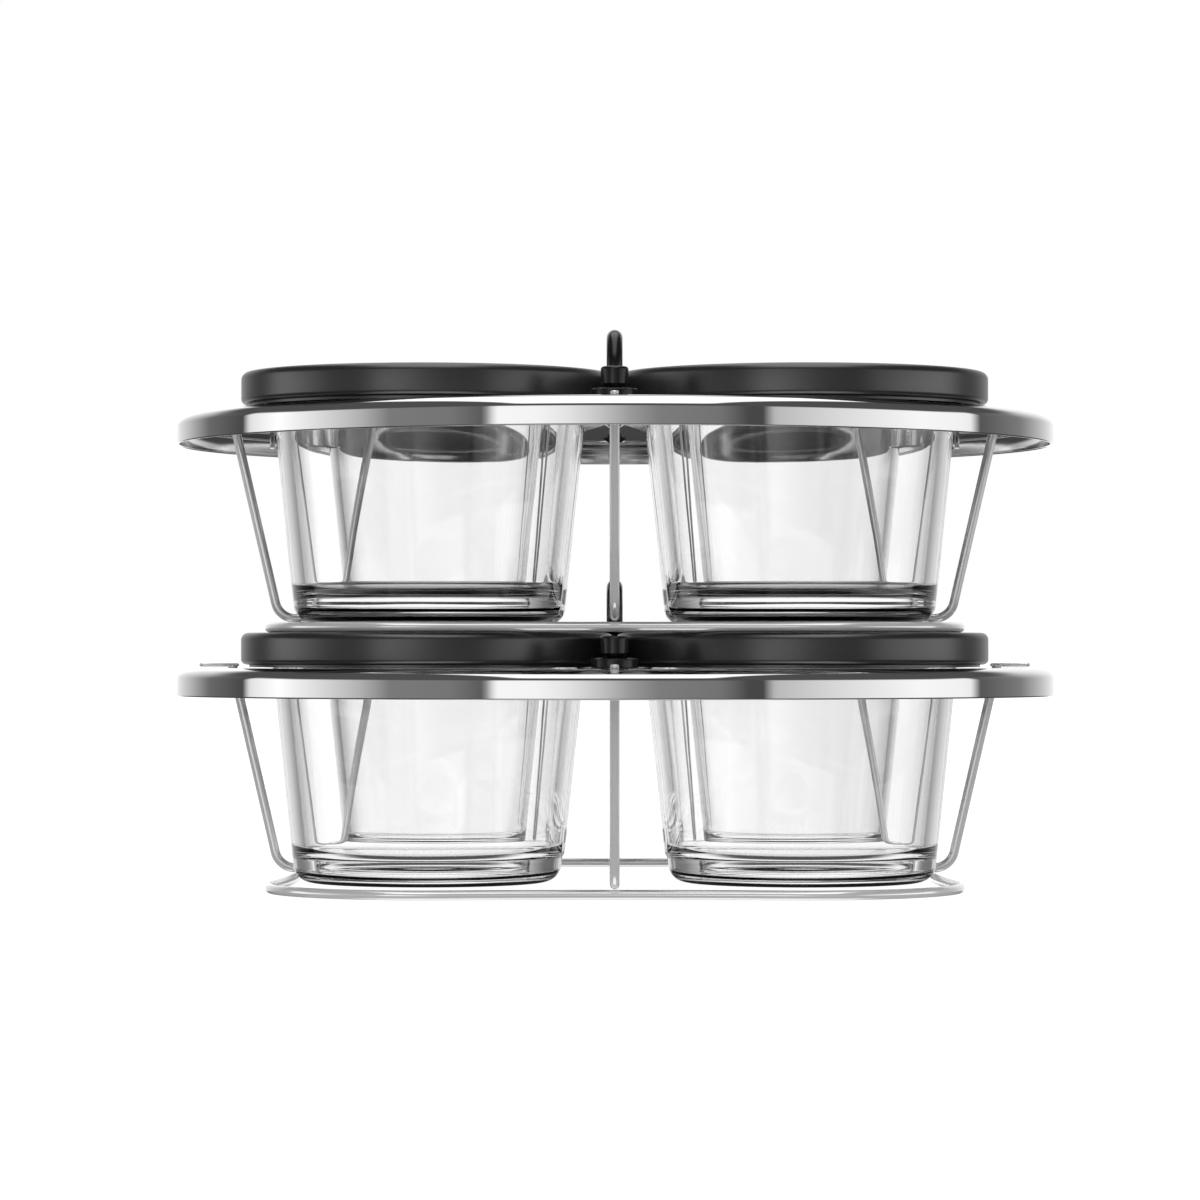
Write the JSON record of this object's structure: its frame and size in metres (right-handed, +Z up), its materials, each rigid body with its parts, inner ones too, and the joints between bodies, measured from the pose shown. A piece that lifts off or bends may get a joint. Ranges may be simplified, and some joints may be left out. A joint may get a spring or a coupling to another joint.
{
  "type": "spice carousel",
  "caption": "Stacking condiment carousel: round steel carriers on wire bases hold lidded glass bowls, with a carrying loop on each tier.",
  "frame": {"origin": "centre of the underside of the lower base ring", "axes": "+Z up, front (the knobs) towards -Y, +X to the right"},
  "size_m": [0.3024, 0.3024, 0.1905],
  "materials": {
    "polished_steel": "mirror-polished stainless steel sheet with a fine circular brushing",
    "satin_wire": "satin stainless steel wire",
    "bowl_glass": "clear pressed glass with a thick base",
    "lid_plastic": "matte black moulded plastic with a fine texture",
    "handle_plastic": "semi-gloss black",
    "seal_silicone": "translucent pale silicone"
  },
  "bodies": {
    "lower_frame": {"lower_plate": "polished_steel", "lower_base_ring": "satin_wire", "lower_leg_front": "satin_wire", "lower_leg_right": "satin_wire", "lower_leg_rear": "satin_wire", "lower_leg_left": "satin_wire", "lower_handle_collar": "handle_plastic", "lower_front_knob_base": "handle_plastic", "lower_front_knob_nut": "handle_plastic", "lower_rear_knob_base": "handle_plastic", "lower_rear_knob_nut": "handle_plastic"},
    "upper_frame": {"upper_plate": "polished_steel", "upper_base_ring": "satin_wire", "upper_leg_front": "satin_wire", "upper_leg_right": "satin_wire", "upper_leg_rear": "satin_wire", "upper_leg_left": "satin_wire", "upper_handle_collar": "handle_plastic", "upper_front_knob_base": "handle_plastic", "upper_front_knob_nut": "handle_plastic", "upper_rear_knob_base": "handle_plastic", "upper_rear_knob_nut": "handle_plastic"},
    "lower_handle": {"lower_handle_loop": "handle_plastic", "lower_handle_nut": "polished_steel"},
    "lower_front_knob_body": {"lower_front_knob": "handle_plastic"},
    "lower_rear_knob_body": {"lower_rear_knob": "handle_plastic"},
    "lower_bowl_front_left_body": {"lower_bowl_front_left": "bowl_glass"},
    "lower_lid_front_left_body": {"lower_lid_front_left": "lid_plastic", "lower_seal_front_left": "seal_silicone"},
    "lower_bowl_front_right_body": {"lower_bowl_front_right": "bowl_glass"},
    "lower_lid_front_right_body": {"lower_lid_front_right": "lid_plastic", "lower_seal_front_right": "seal_silicone"},
    "lower_bowl_rear_right_body": {"lower_bowl_rear_right": "bowl_glass"},
    "lower_lid_rear_right_body": {"lower_lid_rear_right": "lid_plastic", "lower_seal_rear_right": "seal_silicone"},
    "lower_bowl_rear_left_body": {"lower_bowl_rear_left": "bowl_glass"},
    "lower_lid_rear_left_body": {"lower_lid_rear_left": "lid_plastic", "lower_seal_rear_left": "seal_silicone"},
    "upper_handle": {"upper_handle_loop": "handle_plastic", "upper_handle_nut": "polished_steel"},
    "upper_front_knob_body": {"upper_front_knob": "handle_plastic"},
    "upper_rear_knob_body": {"upper_rear_knob": "handle_plastic"},
    "upper_bowl_front_left_body": {"upper_bowl_front_left": "bowl_glass"},
    "upper_lid_front_left_body": {"upper_lid_front_left": "lid_plastic", "upper_seal_front_left": "seal_silicone"},
    "upper_bowl_front_right_body": {"upper_bowl_front_right": "bowl_glass"},
    "upper_lid_front_right_body": {"upper_lid_front_right": "lid_plastic", "upper_seal_front_right": "seal_silicone"},
    "upper_bowl_rear_right_body": {"upper_bowl_rear_right": "bowl_glass"},
    "upper_lid_rear_right_body": {"upper_lid_rear_right": "lid_plastic", "upper_seal_rear_right": "seal_silicone"},
    "upper_bowl_rear_left_body": {"upper_bowl_rear_left": "bowl_glass"},
    "upper_lid_rear_left_body": {"upper_lid_rear_left": "lid_plastic", "upper_seal_rear_left": "seal_silicone"}
  },
  "joints": [
    {"name": "carousel_turn", "type": "hinge", "parent": "lower_frame", "child": "lower_handle", "pos_m": [0, 0, 0.08], "axis": [0, 0, 1], "continuous": true},
    {"name": "upper_tier_lift", "type": "slide", "parent": "lower_handle", "child": "upper_frame", "axis": [0, 0, 1], "range_m": [0, 0.12]},
    {"name": "upper_handle_turn", "type": "hinge", "parent": "upper_frame", "child": "upper_handle", "pos_m": [0, 0, 0.166], "axis": [0, 0, 1], "continuous": true},
    {"name": "lower_front_knob_turn", "type": "hinge", "parent": "lower_frame", "child": "lower_front_knob_body", "pos_m": [0, -0.1195, 0.08], "axis": [0, 0, 1], "continuous": true},
    {"name": "lower_rear_knob_turn", "type": "hinge", "parent": "lower_frame", "child": "lower_rear_knob_body", "pos_m": [0, 0.1195, 0.08], "axis": [0, 0, 1], "continuous": true},
    {"name": "upper_front_knob_turn", "type": "hinge", "parent": "upper_frame", "child": "upper_front_knob_body", "pos_m": [0, -0.1195, 0.1661], "axis": [0, 0, 1], "continuous": true},
    {"name": "upper_rear_knob_turn", "type": "hinge", "parent": "upper_frame", "child": "upper_rear_knob_body", "pos_m": [0, 0.1195, 0.1661], "axis": [0, 0, 1], "continuous": true},
    {"name": "lower_bowl_front_left_turn", "type": "hinge", "parent": "lower_frame", "child": "lower_bowl_front_left_body", "pos_m": [-0.0621, -0.0621, 0.04], "axis": [0, 0, 1], "continuous": true},
    {"name": "lower_lid_front_left_turn", "type": "hinge", "parent": "lower_bowl_front_left_body", "child": "lower_lid_front_left_body", "pos_m": [-0.0621, -0.0621, 0.08], "axis": [0, 0, 1], "continuous": true},
    {"name": "upper_bowl_front_left_lift", "type": "slide", "parent": "upper_frame", "child": "upper_bowl_front_left_body", "axis": [0, 0, 1], "range_m": [0, 0.09]},
    {"name": "upper_lid_front_left_lift", "type": "slide", "parent": "upper_bowl_front_left_body", "child": "upper_lid_front_left_body", "axis": [0, 0, 1], "range_m": [0, 0.04]},
    {"name": "lower_bowl_front_right_turn", "type": "hinge", "parent": "lower_frame", "child": "lower_bowl_front_right_body", "pos_m": [0.0621, -0.0621, 0.04], "axis": [0, 0, 1], "continuous": true},
    {"name": "lower_lid_front_right_turn", "type": "hinge", "parent": "lower_bowl_front_right_body", "child": "lower_lid_front_right_body", "pos_m": [0.0621, -0.0621, 0.08], "axis": [0, 0, 1], "continuous": true},
    {"name": "upper_bowl_front_right_lift", "type": "slide", "parent": "upper_frame", "child": "upper_bowl_front_right_body", "axis": [0, 0, 1], "range_m": [0, 0.09]},
    {"name": "upper_lid_front_right_lift", "type": "slide", "parent": "upper_bowl_front_right_body", "child": "upper_lid_front_right_body", "axis": [0, 0, 1], "range_m": [0, 0.04]},
    {"name": "lower_bowl_rear_right_turn", "type": "hinge", "parent": "lower_frame", "child": "lower_bowl_rear_right_body", "pos_m": [0.0621, 0.0621, 0.04], "axis": [0, 0, 1], "continuous": true},
    {"name": "lower_lid_rear_right_turn", "type": "hinge", "parent": "lower_bowl_rear_right_body", "child": "lower_lid_rear_right_body", "pos_m": [0.0621, 0.0621, 0.08], "axis": [0, 0, 1], "continuous": true},
    {"name": "upper_bowl_rear_right_lift", "type": "slide", "parent": "upper_frame", "child": "upper_bowl_rear_right_body", "axis": [0, 0, 1], "range_m": [0, 0.09]},
    {"name": "upper_lid_rear_right_lift", "type": "slide", "parent": "upper_bowl_rear_right_body", "child": "upper_lid_rear_right_body", "axis": [0, 0, 1], "range_m": [0, 0.04]},
    {"name": "lower_bowl_rear_left_turn", "type": "hinge", "parent": "lower_frame", "child": "lower_bowl_rear_left_body", "pos_m": [-0.0621, 0.0621, 0.04], "axis": [0, 0, 1], "continuous": true},
    {"name": "lower_lid_rear_left_turn", "type": "hinge", "parent": "lower_bowl_rear_left_body", "child": "lower_lid_rear_left_body", "pos_m": [-0.0621, 0.0621, 0.08], "axis": [0, 0, 1], "continuous": true},
    {"name": "upper_bowl_rear_left_lift", "type": "slide", "parent": "upper_frame", "child": "upper_bowl_rear_left_body", "axis": [0, 0, 1], "range_m": [0, 0.09]},
    {"name": "upper_lid_rear_left_lift", "type": "slide", "parent": "upper_bowl_rear_left_body", "child": "upper_lid_rear_left_body", "axis": [0, 0, 1], "range_m": [0, 0.04]}
  ]
}
